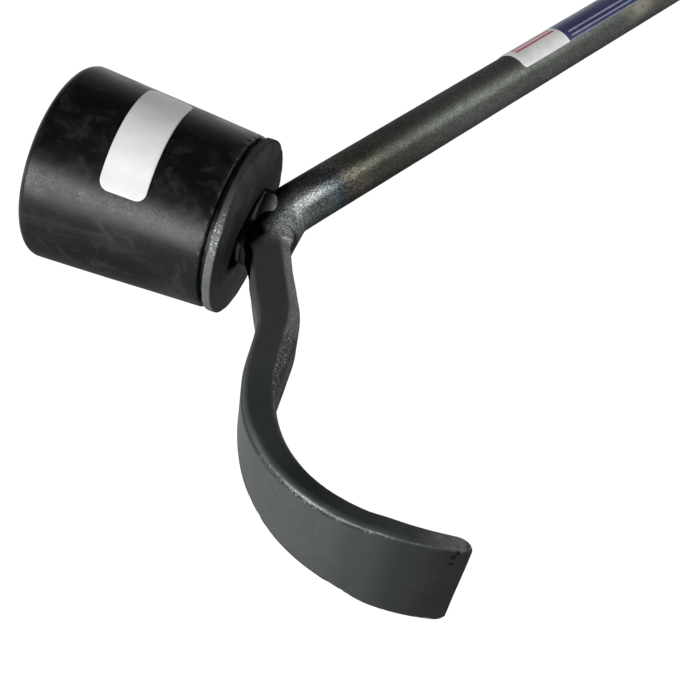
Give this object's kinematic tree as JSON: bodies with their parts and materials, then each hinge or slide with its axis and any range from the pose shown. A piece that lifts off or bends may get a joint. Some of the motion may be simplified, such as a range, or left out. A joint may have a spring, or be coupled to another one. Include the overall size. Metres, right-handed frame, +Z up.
{
  "type": "hub-cap hammer",
  "caption": "Bent round steel bar with a flared curved pry claw at one end and a tapered rubber mallet head on a welded backing disc at the bend.",
  "frame": {"origin": "middle of the bounding box, on the surface the tool lies on", "axes": "+X along the handle, away from the head; +Y towards the side of the rubber head; +Z up from the surface the tool lies on"},
  "size_m": [0.407, 0.1981, 0.0661],
  "materials": {
    "black_oxide_steel": "dark forged steel with oxide scale",
    "disc_steel": "dark steel plate with scale",
    "weld_metal": "dark as-welded bead",
    "black_rubber": "semi-gloss moulded rubber, scuffed",
    "zinc_plated_steel": "bright zinc plate",
    "white_label": "satin white film",
    "printed_label": "satin film, plain white and navy panels"
  },
  "bodies": {
    "root": {"pry_bar": "black_oxide_steel", "backing_disc": "disc_steel", "weld_bead_handle_side": "weld_metal", "weld_bead_claw_side": "weld_metal", "rubber_head": "black_rubber", "head_stud": "zinc_plated_steel", "flat_washer": "zinc_plated_steel", "lock_washer": "zinc_plated_steel", "hex_nut": "zinc_plated_steel", "head_label": "white_label", "handle_label": "printed_label"}
  },
  "joints": []
}
